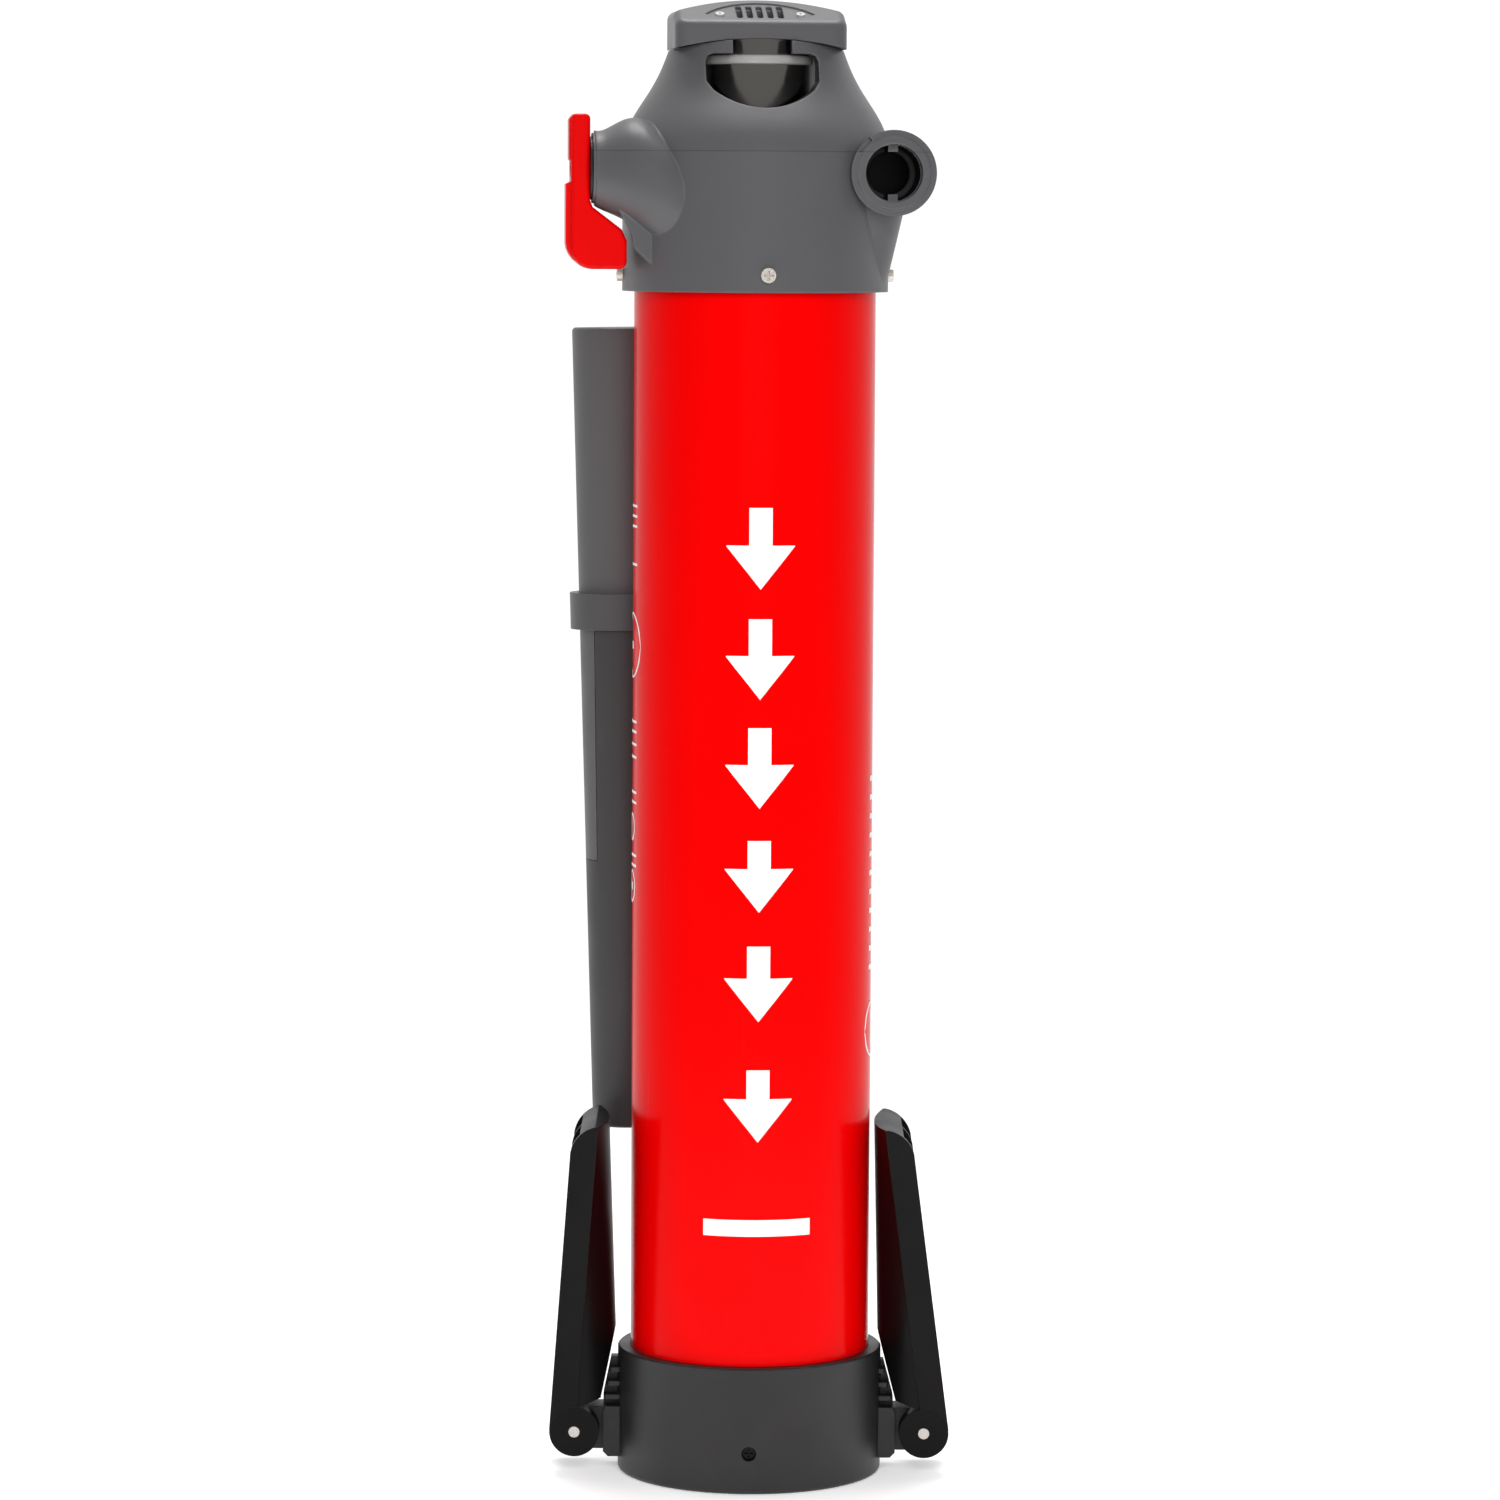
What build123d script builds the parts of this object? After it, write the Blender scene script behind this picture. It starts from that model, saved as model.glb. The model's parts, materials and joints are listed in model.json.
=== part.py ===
from build123d import *

import os
from math import cos, radians, sin

# A stand-up hand pump with two chambers, one inside the other, for inflatable boards and boats.
# Millimetres. +Z is up, -Y is the front, and the origin is the centre of the base's underside.
# The pump stands with its feet folded up, its plunger down and its handle stowed at the left.

# ---- Cylinder and base ----
TUBE_R = 47.5
TUBE_WALL = 2.0
TUBE_BORE_R = TUBE_R - TUBE_WALL
TUBE_TOP = 499.5
FIT = 0.05  # radial clearance of a close fit
BASE_R = 52.5
BASE_H = 50.0
BASE_FLOOR = 8.0
GASKET_T = 1.0
TUBE_FOOT = BASE_FLOOR + GASKET_T
SOCKET_R = TUBE_R + FIT  # what takes the cylinder's ends
BASE_SCREW_Z = 16.2

# ---- Head ----
HEAD_TURN = 5.5  # the head is clocked this far about the pump's axis
HEAD_R = 52.25
HEAD_FOOT = 469.2
HEAD_SCREW_Z = 475.9
PLATE_T = 5.0
PLATE_TOP = TUBE_TOP + PLATE_T
SEAM_Z = 523.5  # where the straight side ends and the shoulder starts
CHAMBER_R = 44.0
CHAMBER_TOP = 527.0
SLEEVE_R = 28.5  # the sleeve that holds the shaft's bush
GUIDE_R = 24.5
GUIDE_TOP = 537.5
NECK_BORE_R = 22.6
WINDOW_BORE_R = 24.2  # the bore is wider between the window's sill and its top
WINDOW_HALF = 22.0
WINDOW_FLOOR = 540.1
WINDOW_SHOULDER = 561.3  # where the window narrows, over the stop collar
WINDOW_THROAT = 11.5

# ---- Lever boss, on the left of the head, set forward of the pump's axis ----
BOSS_Y = -20.0
BOSS_Z = 516.8
BOSS_END = -65.8
SPINDLE_R = 8.0
SPINDLE_LEN = 31.0
SPINDLE_FLANGE_R = 12.2
LEVER_OUT = -76.1
LEVER_IN = -66.7
LEVER_Y_HALF = 6.0

# ---- Hose port, on the right of the head, facing forward ----
PORT_X = 49.4
PORT_Z = 515.4
PORT_MOUTH_Y = -45.0
PORT_R = 14.8
PORT_FLANGE_R = 16.6
PORT_BORE_R = 11.1
PORT_MOUTH_LEN = 5.0

# ---- Shaft and pistons ----
SHAFT_R = 21.0
SHAFT_BORE_R = 19.5
SHAFT_TOP = 567.3
PISTON_FOOT = 57.0
PISTON_T = 20.0
PISTON_TOP = PISTON_FOOT + PISTON_T
ROD_R = 8.0
ROD_TOP = 492.0
COLLAR_R = 22.3
COLLAR_FOOT = 557.2
COLLAR_T = 3.8

# ---- Grip hub on top of the shaft ----
HUB_HALF_X = 33.6
HUB_HALF_Y = 23.0
HUB_TOP = 582.6
HUB_END_TOP = 577.6
HUB_UNDER = 567.3
HUB_END_UNDER = 563.3
SLOT_Y = 2.0
SLOT_W = 28.0
SLOT_FOOT = 568.6
SLOT_H = 7.0
SLOT_WALL = 6.0  # what is left at the slot's closed end, on the left

# ---- Stowed handle: a round tapered bar in two halves, leaning out slightly at the top ----
HANDLE_AZIMUTH = 138.0  # from +X, so behind the left side
HANDLE_FOOT_Z = 131.5
HANDLE_LEN = 322.5
HANDLE_FOOT_OUT = 65.9  # from the pump's axis to the bar's axis
HANDLE_TOP_OUT = 72.6
HANDLE_FOOT_R = 15.0
HANDLE_TOP_R = 19.5
GRIP_SPLIT = 201.5  # along the bar, where its two halves meet
TENON_LEN = 93.0
TENON_FLAT = 11.7  # from the bar's axis to the tenon's flat
GRIP_GAP = 0.2
CLIP_H = 14.6
CLIP_WALL = 3.3
CLIP_GAP = 0.4

# ---- Feet ----
PIVOT_X = 69.5
PIVOT_Z = 16.9
FOOT_BOSS_R = 9.9
FOOT_SOLE = 10.0  # from the pivot out to the plane of the sole
FOOT_LEN = 124.6
FOOT_HINGE_HALF = 16.0
FOOT_TOE_HALF = 28.5
FOOT_RIM = 10.2  # height of the rim round the tread
FOOT_GROOVE = 1.5
FOOT_WALL = 3.0
TREAD_HINGE = -17.6  # the tread's crown, measured as the sole is
TREAD_TOE = -4.0
FORK_HALF = 7.4  # half the gap between the two ears
PIN_R = 2.2
LEANS = {"left": 4.3, "right": 7.5}  # how far each folded foot leans in
SIDES = {"left": -1, "right": 1}

HEAD_XY = Plane.XY.rotated((0, 0, HEAD_TURN))
HEAD_X = HEAD_XY.x_dir
HEAD_Y = HEAD_XY.y_dir
HEAD_XZ = Plane(origin=(0, 0, 0), x_dir=HEAD_X, z_dir=-HEAD_Y)
HEAD_YZ = Plane(origin=(0, 0, 0), x_dir=HEAD_Y, z_dir=HEAD_X)


def head_point(x, y, z):
    """A point given in the turned head's own directions."""
    return HEAD_X * x + HEAD_Y * y + Vector(0, 0, z)


def head_plane(x, y, z, normal):
    """An upright plane facing along a head direction, with its own y axis up."""
    return Plane(origin=head_point(x, y, z), x_dir=Vector(0, 0, 1).cross(normal), z_dir=normal)


def write(piece, name):
    """Label one finished piece and write its file."""
    piece.part.label = name
    export_step(piece.part, f"parts/{name}.step")


def washer(outer, inner, foot, top):
    """A plain ring about the pump's axis."""
    with BuildPart() as piece:
        with BuildSketch(Plane.XY.offset(foot)):
            Circle(outer)
            Circle(inner, mode=Mode.SUBTRACT)
        extrude(amount=top - foot)
    return piece


def o_ring(major, minor, height):
    """A round-section ring about the pump's axis."""
    with BuildPart() as piece:
        with Locations((0, 0, height)):
            Torus(major, minor)
    return piece


def drill(plane, radius, depth):
    """Cut a round hole from a plane, along its normal, in the part being built."""
    with BuildSketch(plane) as mouth_circle:
        Circle(radius)
    extrude(mouth_circle.sketch, amount=depth, mode=Mode.SUBTRACT)


def rod(plane, radius, depth):
    """Add a round bar from a plane, along its normal, to the part being built."""
    with BuildSketch(plane) as end_circle:
        Circle(radius)
    extrude(end_circle.sketch, amount=depth)


def pan_screw(plane, head_r, head_t, shank_r, shank_len):
    """A cross-slotted pan-head screw, its head standing on the plane and its shank behind it."""
    rod(plane, head_r, head_t)
    rod(plane.offset(-shank_len), shank_r, shank_len)
    with BuildSketch(plane.offset(head_t)) as cross:
        Rectangle(1.3 * head_r, 0.28 * head_r)
        Rectangle(0.28 * head_r, 1.3 * head_r)
    extrude(cross.sketch, amount=-0.5 * head_t, mode=Mode.SUBTRACT)


os.makedirs("parts", exist_ok=True)

# ---- Main tube ----
HANDLE_OUT = Vector(cos(radians(HANDLE_AZIMUTH)), sin(radians(HANDLE_AZIMUTH)), 0)
HANDLE_FOOT = HANDLE_OUT * HANDLE_FOOT_OUT + Vector(0, 0, HANDLE_FOOT_Z)
HANDLE_AXIS = (HANDLE_OUT * (HANDLE_TOP_OUT - HANDLE_FOOT_OUT) + Vector(0, 0, HANDLE_LEN)).normalized()
CLIP_Z = HANDLE_FOOT_Z + GRIP_SPLIT + CLIP_H / 2
RIVET_ANGLE = 8.0
RIVET_AZIMUTHS = (HANDLE_AZIMUTH - RIVET_ANGLE, HANDLE_AZIMUTH + RIVET_ANGLE)
HEAD_SCREW_ANGLES = [HEAD_TURN + quarter * 90 for quarter in range(4)]
BASE_SCREW_ANGLES = (-90, 90)


def radial_plane(azimuth, radius, height):
    """A plane facing straight out from the pump's axis."""
    out = Vector(cos(radians(azimuth)), sin(radians(azimuth)), 0)
    return Plane(origin=out * radius + Vector(0, 0, height), x_dir=(0, 0, 1), z_dir=out)


with BuildPart() as main_tube:
    with BuildSketch(Plane.XY.offset(TUBE_FOOT)):
        Circle(TUBE_R)
        Circle(TUBE_BORE_R, mode=Mode.SUBTRACT)
    extrude(amount=TUBE_TOP - TUBE_FOOT)
    for angle in BASE_SCREW_ANGLES:
        drill(radial_plane(angle, 40, BASE_SCREW_Z), 1.55, 10)
    for angle in HEAD_SCREW_ANGLES:
        drill(radial_plane(angle, 40, HEAD_SCREW_Z), 1.55, 10)
    for angle in RIVET_AZIMUTHS:
        drill(radial_plane(angle, 40, CLIP_Z), 1.55, 10)
write(main_tube, "main_tube")

# ---- Base cap, with a hinge bracket at each side ----
# The heel: the flat that cuts a foot's tread back near the hinge, to clear the base cap
HEEL_STATION = 14.0  # along the foot from its pivot
HEEL_TOP_STATION = 29.0
HEEL_OUT = -9.5
HEEL_SLOPE = 0.13
BRACKET_OUT = 58.2
BRACKET_HALF_Y = 10.0
BRACKET_FOOT = 5.8
BRACKET_TOP = 26.0
TONGUE_HALF_Y = 7.0
TONGUE_R = 8.5
RIB_HEIGHTS = (30.5, 36.0, 41.5)
RIB_T = 1.8
WEB_HALF_Y = 3.0
HEEL_GAP = 0.8  # from the folded foot's heel to the web and the ribs
SOCKET_TOP = 24.0


def heel_point(name, station):
    """A point a little inside the folded foot's heel, in front view."""
    lean = radians(LEANS[name])
    out = HEEL_OUT - HEEL_SLOPE * (station - HEEL_STATION) - HEEL_GAP
    x = PIVOT_X + out * cos(lean) - station * sin(lean)
    return SIDES[name] * x, PIVOT_Z + out * sin(lean) + station * cos(lean)


with BuildPart() as base_cap:
    with BuildSketch():
        Circle(BASE_R)
    extrude(amount=BASE_H)
    fillet(base_cap.edges().sort_by(Axis.Z)[0], 1.6)
    chamfer(base_cap.edges().sort_by(Axis.Z)[-1], 0.6)
    for name, side in SIDES.items():
        with BuildSketch(Plane.XZ):
            with BuildLine():
                Polyline((side * 49, BRACKET_FOOT), (side * (BRACKET_OUT - 2), BRACKET_FOOT))
                Polyline((side * (BRACKET_OUT - 2), BRACKET_FOOT), (side * BRACKET_OUT, BRACKET_FOOT + 2))
                Polyline((side * BRACKET_OUT, BRACKET_FOOT + 2), (side * BRACKET_OUT, BRACKET_TOP - 2))
                Polyline((side * BRACKET_OUT, BRACKET_TOP - 2), (side * (BRACKET_OUT - 1), BRACKET_TOP))
                Polyline(
                    (side * (BRACKET_OUT - 1), BRACKET_TOP),
                    (side * 49, BRACKET_TOP),
                    (side * 49, BRACKET_FOOT),
                )
            make_face()
        extrude(amount=BRACKET_HALF_Y, both=True)
        with BuildSketch(Plane.XZ):
            with Locations((side * (PIVOT_X + 50) / 2, PIVOT_Z)):
                Rectangle(PIVOT_X - 50, 2 * TONGUE_R)
            with Locations((side * PIVOT_X, PIVOT_Z)):
                Circle(TONGUE_R)
        extrude(amount=TONGUE_HALF_Y, both=True)
        # A web and its ribs, cut back to follow the folded foot's heel
        heel = Vector(*heel_point(name, HEEL_STATION))
        heel_top = Vector(*heel_point(name, HEEL_TOP_STATION))
        with BuildSketch(Plane.XZ):
            with BuildLine():
                Polyline((side * 49, 20), (heel.X, 20), heel, heel_top)
                Polyline(heel_top, (side * 49, heel_top.Y), (side * 49, 20))
            make_face()
        extrude(amount=WEB_HALF_Y, both=True)
        for height in RIB_HEIGHTS:
            share = (height - heel.Y) / (heel_top.Y - heel.Y)
            out = abs(heel.X + (heel_top.X - heel.X) * max(0.0, share)) - 0.2
            with BuildSketch(Plane.XY.offset(height - RIB_T)):
                with Locations((side * (out + 50) / 2, 0)):
                    RectangleRounded(out - 50, 18, 1)
            extrude(amount=RIB_T)
        drill(Plane(origin=(side * PIVOT_X, 20, PIVOT_Z), z_dir=(0, -1, 0)), PIN_R + FIT, 40)
    with BuildSketch(Plane.XY.offset(BASE_FLOOR)):
        Circle(SOCKET_R)
    extrude(amount=BASE_H, mode=Mode.SUBTRACT)
    with BuildSketch(Plane.XY.offset(BASE_FLOOR)):
        Circle(14)
    extrude(amount=SOCKET_TOP - BASE_FLOOR)
    drill(Plane.XY.offset(BASE_FLOOR - 3), ROD_R + FIT, SOCKET_TOP)
    for angle in BASE_SCREW_ANGLES:
        drill(radial_plane(angle, SOCKET_R - 1, BASE_SCREW_Z), 1.6, 10)
        drill(radial_plane(angle, 48.6, BASE_SCREW_Z), 2.9, 10)
write(base_cap, "base_cap")

write(washer(TUBE_R, TUBE_BORE_R - 1, BASE_FLOOR, TUBE_FOOT), "base_gasket")

with BuildPart() as base_screws:
    for angle in BASE_SCREW_ANGLES:
        pan_screw(radial_plane(angle, 48.6, BASE_SCREW_Z), 2.5, 1.6, 1.5, 4.5)
write(base_screws, "base_screws")

# ---- Fixed rod and the small piston on top of it ----
with BuildPart() as inner_rod:
    with BuildSketch(Plane.XY.offset(BASE_FLOOR - 3)):
        Circle(ROD_R)
        Circle(ROD_R - 2.5, mode=Mode.SUBTRACT)
    extrude(amount=ROD_TOP - BASE_FLOOR + 3)
write(inner_rod, "inner_rod")

SMALL_PISTON_T = 12.0
with BuildPart() as inner_piston:
    with BuildSketch(Plane.XY.offset(ROD_TOP)):
        Circle(SHAFT_BORE_R - 0.2)
        Circle(3, mode=Mode.SUBTRACT)
    extrude(amount=SMALL_PISTON_T)
    with Locations((0, 0, ROD_TOP + SMALL_PISTON_T / 2)):
        Torus(SHAFT_BORE_R - 1.5, 1.5, mode=Mode.SUBTRACT)
write(inner_piston, "inner_piston")
write(o_ring(SHAFT_BORE_R - 1.5, 1.43, ROD_TOP + SMALL_PISTON_T / 2), "inner_piston_ring")

# ---- Main piston, with its inlet holes under a rubber flap ----
PISTON_HOLES_R = 31.0
SPIGOT_T = 12.0
with BuildPart() as main_piston:
    with BuildSketch(Plane.XY.offset(PISTON_FOOT)):
        Circle(TUBE_BORE_R - 0.3)
    extrude(amount=PISTON_T)
    with BuildSketch(Plane.XY.offset(PISTON_TOP)):
        Circle(SHAFT_BORE_R - FIT)
    extrude(amount=SPIGOT_T)
    drill(Plane.XY.offset(PISTON_FOOT), ROD_R + 0.08, PISTON_T + SPIGOT_T)
    with BuildSketch(Plane.XY.offset(PISTON_FOOT)):
        with PolarLocations(PISTON_HOLES_R, 8):
            Circle(3)
    extrude(amount=PISTON_T, mode=Mode.SUBTRACT)
    with Locations((0, 0, PISTON_FOOT + PISTON_T / 2)):
        Torus(TUBE_BORE_R - 2, 2, mode=Mode.SUBTRACT)
        Torus(ROD_R + 1.6, 1.6, mode=Mode.SUBTRACT)
write(main_piston, "main_piston")
write(o_ring(TUBE_BORE_R - 2, 1.93, PISTON_FOOT + PISTON_T / 2), "piston_seal")
write(o_ring(ROD_R + 1.6, 1.53, PISTON_FOOT + PISTON_T / 2), "rod_seal")
write(washer(PISTON_HOLES_R + 6, PISTON_HOLES_R - 6, PISTON_TOP, PISTON_TOP + 1.2), "piston_flap")

# ---- Shaft ----
write(washer(SHAFT_R, SHAFT_BORE_R, PISTON_TOP, SHAFT_TOP), "shaft_tube")

PLUG_FOOT = 533.0
PLUG_TOP = 549.0
PLUG_MID = (PLUG_FOOT + PLUG_TOP) / 2
with BuildPart() as shaft_plug:
    with BuildSketch(Plane.XY.offset(PLUG_FOOT)):
        Circle(SHAFT_BORE_R - FIT)
    extrude(amount=PLUG_TOP - PLUG_FOOT)
    with Locations((0, 0, PLUG_MID)):
        Torus(SHAFT_BORE_R - 1.5, 1.5, mode=Mode.SUBTRACT)
write(shaft_plug, "shaft_plug")
write(o_ring(SHAFT_BORE_R - 1.5, 1.43, PLUG_MID), "plug_seal")

with BuildPart() as stop_collar:
    with BuildSketch(Plane.XY.offset(COLLAR_FOOT)):
        Circle(COLLAR_R)
        Circle(SHAFT_R + 0.02, mode=Mode.SUBTRACT)
    extrude(amount=COLLAR_T)
    outer_rims = stop_collar.edges().filter_by(GeomType.CIRCLE).sort_by(SortBy.RADIUS)[-2:]
    fillet(outer_rims, 1.2)
write(stop_collar, "stop_collar")

# ---- Bush, wiper and outlet valve in the head ----
write(washer(GUIDE_R - FIT, SHAFT_R + 0.06, PLATE_TOP, GUIDE_TOP), "shaft_guide")
write(washer(NECK_BORE_R - FIT, SHAFT_R + 0.05, GUIDE_TOP, GUIDE_TOP + 2.5), "shaft_wiper")

VALVE_HOLES_R = 33.0
with BuildPart() as valve_plate:
    with BuildSketch(Plane.XY.offset(TUBE_TOP)):
        Circle(TUBE_R)
        Circle(SHAFT_R + 0.4, mode=Mode.SUBTRACT)
        with PolarLocations(VALVE_HOLES_R, 10):
            Circle(3, mode=Mode.SUBTRACT)
    extrude(amount=PLATE_T)
write(valve_plate, "valve_plate")
write(washer(VALVE_HOLES_R + 6, VALVE_HOLES_R - 4, PLATE_TOP, PLATE_TOP + 1.2), "outlet_flap")

# ---- Head casing ----
# The neck narrows from a circle to a flat oval; each entry is height, half width and half depth.
NECK = (
    (SEAM_Z, HEAD_R, HEAD_R),
    (531, 50.9, 49.6),
    (540, 46.3, 42.5),
    (550, 40.0, 34.0),
    (559, 35.8, 29.0),
    (568, 32.6, 26.0),
)
NECK_TOP = NECK[-1][0]
# The lever boss, which droops as it nears the axis; each entry is x, height and radius.
BOSS = (
    (BOSS_END + 1, BOSS_Z, 14.6),
    (-57, 516.2, 17.6),
    (-48, 514.6, 21.6),
    (-40, 510.0, 22.8),
    (-31, 506.8, 21.6),
    (-22, 505.0, 13.0),
)
# The swelling under the hose port; each entry is height, centre (x, y), half width and half depth.
FLARE = (
    (472, 33, -12, 17, 17),
    (490, 38, -14, 16.3, 17),
    (503, 41.5, -16, 15.6, 18),
    (PORT_Z, 45.5, -17, 15, 19),
)
PORT_REAR_Y = -6.0
HUB_GAP = 0.35  # between the casing's ears and the hub resting over them


def under_arc(gap):
    """The arched line of the hub's underside, lowered by a gap."""
    ends = HUB_END_UNDER - gap
    return ThreePointArc((-HUB_HALF_X - 5, ends - 1.2), (0, HUB_UNDER - gap), (HUB_HALF_X + 5, ends - 1.2))


with BuildPart() as head_casing:
    # Skirt and shoulder
    with BuildSketch(HEAD_XY.offset(HEAD_FOOT)):
        Circle(HEAD_R)
    extrude(amount=SEAM_Z - HEAD_FOOT)
    for height, half_x, half_y in NECK:
        with BuildSketch(HEAD_XY.offset(height)):
            Ellipse(half_x, half_y)
    loft()
    # Lever boss, flaring into the side
    rod(head_plane(BOSS_END, BOSS_Y, BOSS_Z, HEAD_X), BOSS[0][2] - 1, 5)
    for x, height, radius in BOSS:
        with BuildSketch(head_plane(x, BOSS_Y, height, HEAD_X)):
            Circle(radius)
    loft()
    # Hose port and the flare that carries it
    rod(head_plane(PORT_X, PORT_REAR_Y, PORT_Z, -HEAD_Y), PORT_R, PORT_REAR_Y - PORT_MOUTH_Y)
    with Locations(head_point(PORT_X, PORT_REAR_Y, PORT_Z)):
        Sphere(PORT_R)
    for height, x, y, half_x, half_y in FLARE:
        with BuildSketch(HEAD_XY.offset(height)):
            with Locations((x, y)):
                Ellipse(half_x, half_y)
    loft()
    # Rib below the lever boss
    with BuildSketch(head_plane(0, BOSS_Y, 0, -HEAD_Y)):
        with BuildLine():
            Polyline((-39, 508), (-56.2, 508), (-56.2, 501), (-51.4, 493), (-49.6, 486), (-42, 478.5))
            Polyline((-42, 478.5), (-39, 478.5), (-39, 508))
        make_face()
    extrude(amount=9.5)
    # Round passages inside: cylinder socket, chamber, bush, neck
    with BuildSketch(HEAD_XY.offset(HEAD_FOOT)):
        Circle(SOCKET_R)
    extrude(amount=PLATE_TOP - HEAD_FOOT, mode=Mode.SUBTRACT)
    with BuildSketch(HEAD_XY.offset(PLATE_TOP)):
        Circle(CHAMBER_R)
        Circle(SLEEVE_R, mode=Mode.SUBTRACT)
    extrude(amount=CHAMBER_TOP - PLATE_TOP, mode=Mode.SUBTRACT)
    drill(HEAD_XY.offset(PLATE_TOP), GUIDE_R, GUIDE_TOP - PLATE_TOP)
    drill(HEAD_XY.offset(GUIDE_TOP), NECK_BORE_R, NECK_TOP)
    drill(HEAD_XY.offset(WINDOW_FLOOR), WINDOW_BORE_R, WINDOW_SHOULDER - WINDOW_FLOOR)
    # Top of the ears, under the hub
    with BuildSketch(HEAD_XZ):
        with BuildLine():
            arc = under_arc(HUB_GAP)
            Polyline(arc @ 1, (60, 600), (-60, 600), arc @ 0)
        make_face()
    extrude(amount=60, both=True, mode=Mode.SUBTRACT)
    # Shaft windows, front and back, with a stepped side and a smiling floor
    with BuildSketch(HEAD_XZ):
        with BuildLine():
            sill = ThreePointArc((-WINDOW_HALF + 2.5, 547), (0, WINDOW_FLOOR), (WINDOW_HALF - 2.5, 547))
            for side in (-1, 1):
                Polyline(
                    sill @ (0.5 + side / 2),
                    (side * WINDOW_HALF, 550.5),
                    (side * WINDOW_HALF, WINDOW_SHOULDER - 3),
                    (side * (WINDOW_HALF - 0.9), WINDOW_SHOULDER - 0.9),
                    (side * (WINDOW_HALF - 3), WINDOW_SHOULDER),
                    (side * WINDOW_THROAT, WINDOW_SHOULDER),
                    (side * WINDOW_THROAT, 580),
                )
            Line((-WINDOW_THROAT, 580), (WINDOW_THROAT, 580))
        make_face()
    extrude(amount=60, both=True, mode=Mode.SUBTRACT)
    # Port bore, its mouth a little wider, and the passage that joins it to the chamber
    mouth = head_plane(PORT_X, PORT_MOUTH_Y, PORT_Z, HEAD_Y)
    drill(mouth, PORT_BORE_R, PORT_MOUTH_LEN)
    drill(mouth, PORT_BORE_R - 0.3, 34)
    drill(head_plane(PORT_X, -20, PORT_Z, -HEAD_X), 7, 16)
    # Spindle bore
    drill(head_plane(BOSS_END, BOSS_Y, BOSS_Z, HEAD_X), SPINDLE_R, -BOSS_END - 30)
    for angle in HEAD_SCREW_ANGLES:
        drill(radial_plane(angle, SOCKET_R - 1, HEAD_SCREW_Z), 1.6, 10)
    # Bayonet flange with its notch, and the two lugs inside
    with BuildSketch(head_plane(PORT_X, PORT_MOUTH_Y + 3, PORT_Z, -HEAD_Y)):
        Circle(PORT_FLANGE_R)
        Circle(PORT_BORE_R, mode=Mode.SUBTRACT)
    extrude(amount=3)
    with BuildSketch(head_plane(PORT_X, PORT_MOUTH_Y, PORT_Z, HEAD_Y)):
        with PolarLocations(PORT_FLANGE_R, 1, start_angle=43):
            Rectangle(3.6, 6.6)
    extrude(amount=2.6, mode=Mode.SUBTRACT)
    with BuildSketch(head_plane(PORT_X, PORT_MOUTH_Y, PORT_Z, HEAD_Y)):
        Circle(PORT_FLANGE_R + 1)
        Circle(14.2, mode=Mode.SUBTRACT)
    extrude(amount=0.6, mode=Mode.SUBTRACT)
    with BuildSketch(head_plane(PORT_X, PORT_MOUTH_Y + PORT_MOUTH_LEN, PORT_Z, HEAD_Y)):
        for side in (-1, 1):
            with Locations((0, side * (PORT_BORE_R - 1.2))):
                Rectangle(3.8, 3.4)
    extrude(amount=12)
write(head_casing, "head_casing")

with BuildPart() as head_screws:
    for angle in HEAD_SCREW_ANGLES:
        pan_screw(radial_plane(angle, HEAD_R, HEAD_SCREW_Z), 2.9, 2.2, 1.5, 7.5)
write(head_screws, "head_screws")

with BuildPart() as port_seal:
    with Locations(head_plane(PORT_X, PORT_MOUTH_Y + 20, PORT_Z, -HEAD_Y)):
        Torus(PORT_BORE_R - 1.6, 1.3)
write(port_seal, "port_seal")

# ---- Selector: spindle, seals, lever and screw ----
SPINDLE_GROOVES = (-62.0, -55.0)
SPINDLE_END = BOSS_END + SPINDLE_LEN
LEVER_SCREW_R = 1.8
with BuildPart() as selector_spindle:
    rod(head_plane(LEVER_IN, BOSS_Y, BOSS_Z, HEAD_X), SPINDLE_R - FIT, SPINDLE_END - LEVER_IN)
    rod(head_plane(LEVER_IN, BOSS_Y, BOSS_Z, HEAD_X), SPINDLE_FLANGE_R, BOSS_END - LEVER_IN - 0.1)
    for x in SPINDLE_GROOVES:
        with Locations(head_plane(x, BOSS_Y, BOSS_Z, HEAD_X)):
            Torus(SPINDLE_R - 1.1, 1.1, mode=Mode.SUBTRACT)
    drill(head_plane(LEVER_IN, BOSS_Y, BOSS_Z, HEAD_X), LEVER_SCREW_R + FIT, 12)
    with BuildSketch(head_plane(SPINDLE_END, BOSS_Y, BOSS_Z, -HEAD_X)):
        with Locations((SPINDLE_R, 0)):
            Rectangle(2 * SPINDLE_R, 4 * SPINDLE_R)
    extrude(amount=8, mode=Mode.SUBTRACT)
write(selector_spindle, "selector_spindle")

with BuildPart() as spindle_seals:
    for x in SPINDLE_GROOVES:
        with Locations(head_plane(x, BOSS_Y, BOSS_Z, HEAD_X)):
            Torus(SPINDLE_R - 1.1, 1.05)
write(spindle_seals, "spindle_seals")

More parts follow.
